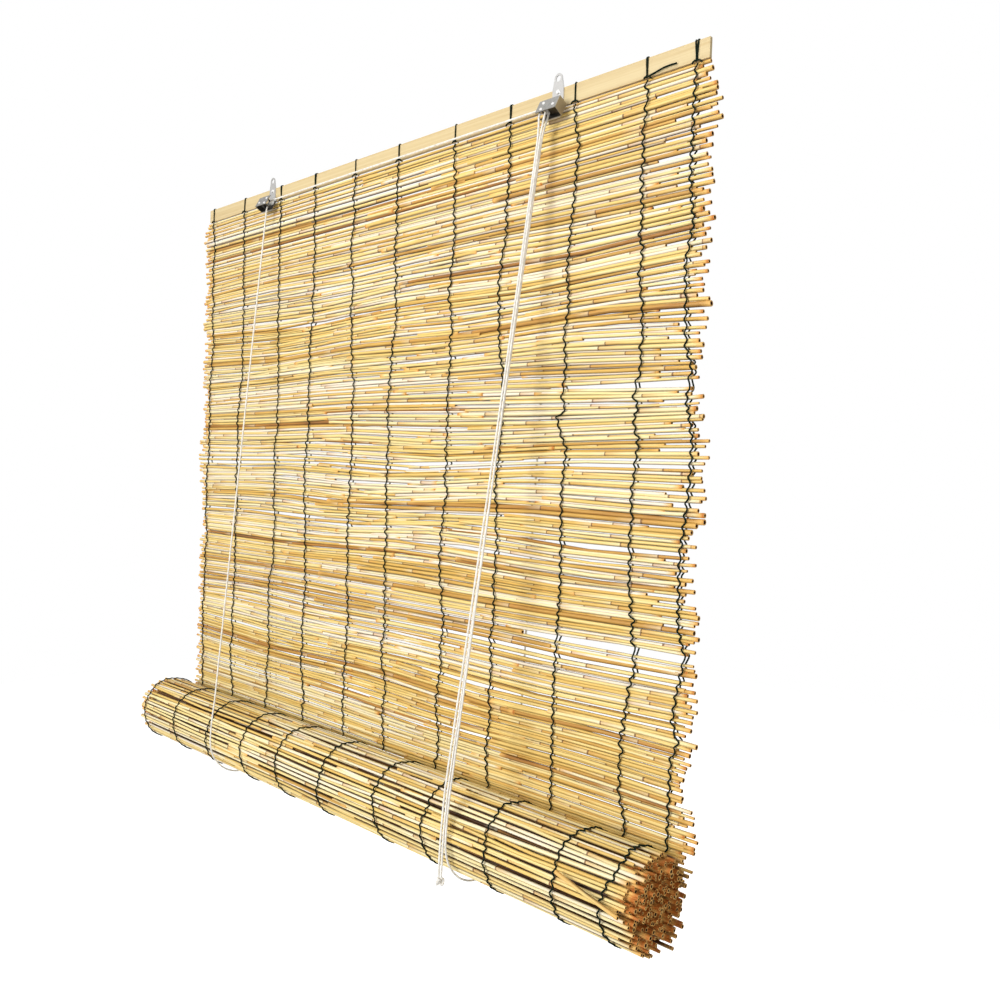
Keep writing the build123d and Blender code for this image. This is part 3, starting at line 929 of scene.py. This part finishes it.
# %% Twine down the mat
right_kinks = [(0, 0), (19, -2), (27, 4), (34, -4), (47, 0), (51, 8), (56, 3), (65, 12), (72, 10), (84, 2),
               (96, 3), (102, 12), (108, 4), (113, 0), (116, 8), (119, 0), (140, -1)]
third_kinks = [(0, 0), (4, 3), (8, 9), (11, 6), (16, 5), (24, 0), (31, -3), (38, 2), (44, -4), (50, 0),
               (55, -4), (57, 2), (59, -11), (62, -5), (66, 5), (74, 0), (90, 3), (110, -2), (140, 0)]
read_off = {twine_columns[0]: kinked(right_kinks), twine_columns[2]: kinked(third_kinks)}
stitches = bmesh.new()
for x in twine_columns:
    walk = read_off.get(x) or wander(row_count, 0.0015)
    for face in (-1, 1):
        points = []
        for index in range(row_count):
            here = x + walk[index]
            z = row_z(index, here)
            step = zigzag if index % 2 == 0 else -zigzag
            points.append((here + step, mat_y + face * over_reed, z))
            if index + 1 < row_count:
                points.append((here, mat_y + face * between_reeds, (z + row_z(index + 1, here)) / 2))
        thread(stitches, points)
mat_twine = put_out(stitches, "mat_twine", twine_finish, "headrail", ["binding_threads"])
shorten(mat_twine, mat_top, mat_bottom)

# %% Twine round the roll
roll_shift = 0.008
bands = bmesh.new()
for x in twine_columns:
    walk = wander(len(shown), 0.0012)
    points = []
    for index, place in enumerate(shown):
        here = x - roll_shift + walk[index]
        step = zigzag if index % 2 == 0 else -zigzag
        points.append(on_roll(here + step, place["radius"] + place["room"] / 2 + 0.0004, place["angle"]))
        if index + 1 < len(shown):
            halfway = (place["angle"] + shown[index + 1]["angle"]) / 2
            points.append(on_roll(here, place["radius"] + 0.0022, halfway))
    thread(bands, points)
put_out(bands, "roll_twine", twine_finish, "roll", [])

# %% Loops and knots on the rail
rail_low, rail_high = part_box("headrail")
loops = bmesh.new()
gap = twine_thick / 2
front = rail_low.y - gap
back = rail_high.y + gap
knot_y = front - 0.0006
bite = 0.0006
for x in twine_columns:
    for strand in (-0.0005, 0.0006):
        over = x + strand + chance.uniform(-0.0014, 0.0014)
        points = [
            (x, front, rail_low.z - bite),
            (over, front, rail_high.z - bite),
            (over, rail_low.y, rail_high.z + gap),
            (over, rail_high.y, rail_high.z + gap),
            (over, back, rail_high.z - bite),
            (x, back, rail_low.z - bite),
        ]
        thread(loops, points)
    knot = Matrix.Translation((x, knot_y, rail_low.z + 0.0004)) @ Matrix.Diagonal((1.5, 0.9, 0.8, 1))
    bmesh.ops.create_icosphere(loops, subdivisions=2, radius=0.0016, matrix=knot)
    for side in (-1, 1):
        reach = chance.uniform(0.003, 0.007)
        end = [(x, knot_y, rail_low.z + 0.0002),
               (x + side * reach * 0.6, front - 0.0014, rail_low.z + 0.0010),
               (x + side * reach, front - 0.0010, rail_low.z - reach * 0.5)]
        thread(loops, end)
long_end = [(twine_columns[1], knot_y, rail_low.z), (0.437, front - 0.0012, rail_low.z + 0.0016),
            (0.449, front - 0.0014, rail_low.z + 0.0046), (0.462, front - 0.0010, rail_low.z + 0.0040)]
thread(loops, long_end)
put_out(loops, "rail_loops", twine_finish, "headrail", ["rail_thread_loops"])

# %% [markdown]
# Pine rail and rod
#
# The rail is planed pine with long straight grain. Bands of early and late wood run the whole length, so a
# noise is stretched hard along the rail and pushed through a ramp. The measured solid is already right and
# only gets its wood. The rod inside the roll is the same wood, darkened with painted shade like the reed ends
# round it.

# %% Wood
def wood(name, shade):
    """Straight-grained wood, as pale as pine at a shade of 1."""
    finish = Finish(name)
    spot = finish.place()
    bandwood = finish.noise(finish.stretched(spot, (1.4, 40, 190)), 1.0, 5, 0.6)
    fibre = finish.noise(finish.stretched(spot, (30, 2000, 2000)), 1.0, 3, 0.6)
    tones = [(0.30, (0.49, 0.34, 0.142)), (0.45, (0.60, 0.46, 0.236)), (0.60, (0.66, 0.53, 0.293)),
             (0.75, (0.585, 0.434, 0.217))]
    tint = finish.ramp(bandwood * 0.8 + fibre * 0.2, [(at, [c * shade for c in tone]) for at, tone in tones])
    finish.set(Base_Color=tint, Roughness=0.6, Normal=finish.dent(fibre, 0.25, 0.0004))
    return finish


show(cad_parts["headrail"], wood("planed_pine", 1.0))
# Painted shade: the rod's pine is darkened to the shade of the roll's core.
show(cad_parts["bottom_rod"], wood("rod_painted_shade", 0.22))
print("wood on rail and rod")

# %% [markdown]
# Metal and nylon
#
# The hangers are bright zinc plate, the lock and the pulley block are duller pressed steel, the pawl is brass
# and the wheels are white nylon. Each metal gets a fine brushed grain and some cloudy wear in its roughness.
# The open side of the lock is dark and its outer cheek takes on the colour of the wood, so the metal gets
# painted shade between the cheeks and a warm painted reflection of the wood on the outside. Both are told
# apart by their place in the leaning lock.

# %% Hardware finishes
lean_y = math.cos(math.radians(28))
lean_z = math.sin(math.radians(28))
lock_y = 0.0006
lock_z = -0.032
lock_back = 0.0019
lock_front = 0.0145
lock_top = -0.002
cheek_inside = 0.3145
cheek_outside = 0.3149


def boxed_in(finish, spot):
    """Two masks: 1 between the cheeks of a housing, for painted shade, and 1 on its outer cheek, for a painted
    reflection.
    """
    axes = finish.add("ShaderNodeSeparateXYZ", {}, {"Vector": spot})
    out = (axes.part("Z") - lock_z) * lean_z - (axes.part("Y") - lock_y) * lean_y
    down = (axes.part("Z") - lock_z) * lean_y + (axes.part("Y") - lock_y) * lean_z
    across = axes.part("X").size()
    inside = out.over(lock_back) * out.under(lock_front) * across.under(cheek_inside) * down.under(lock_top)
    return inside, across.over(cheek_outside)


def metal(name, colour, dull, rough):
    """Brushed metal with painted shade inside the housings and a warm painted reflection on their outer
    cheeks.
    """
    finish = Finish(name)
    spot = finish.place()
    cloud = finish.noise(spot, 240, 4)
    grain = finish.noise(finish.stretched(spot, (120, 2600, 2600)), 1.0, 2)
    tint = finish.mix(cloud, colour, dull)
    inside, side = boxed_in(finish, spot)
    # Painted shade between the cheeks, and a warm painted reflection of the wood on the outer cheek.
    tint = finish.mix(inside * 0.9, tint, (0.03, 0.027, 0.022))
    tint = finish.mix(side * 0.7, tint, (0.46, 0.39, 0.27))
    brushed = finish.dent(grain, 0.15, 0.0002)
    finish.set(Base_Color=tint, Metallic=0.9, Roughness=rough + cloud * 0.25, Normal=brushed)
    return finish


zinc = metal("zinc_plate", (0.60, 0.59, 0.57), (0.40, 0.39, 0.38), 0.24)
pins = metal("bright_pins", (0.88, 0.87, 0.85), (0.74, 0.73, 0.71), 0.22)
steel = metal("pressed_steel", (0.36, 0.35, 0.33), (0.17, 0.166, 0.155), 0.32)
brass = metal("dull_brass", (0.36, 0.27, 0.13), (0.20, 0.14, 0.06), 0.36)
nylon = Finish("white_nylon")
milky = nylon.ramp(nylon.noise(nylon.place(), 500), [(0.3, (0.78, 0.77, 0.72)), (0.7, (0.88, 0.87, 0.83))])
nylon.set(Base_Color=milky, Roughness=0.45)
hardware = {
    zinc: ["right_hanger", "left_hanger"],
    pins: ["hanger_rivets", "lock_axle", "left_axle", "guide_post", "pawl_pivot", "left_lower_post",
           "left_side_post"],
    steel: ["lock_housing", "pulley_housing"],
    brass: ["brake_pawl"],
    nylon: ["lock_wheel_inner", "lock_wheel_outer", "left_wheel"],
}
for finish, nodes in hardware.items():
    for node in nodes:
        show(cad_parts[node], finish)
print("hardware finished")
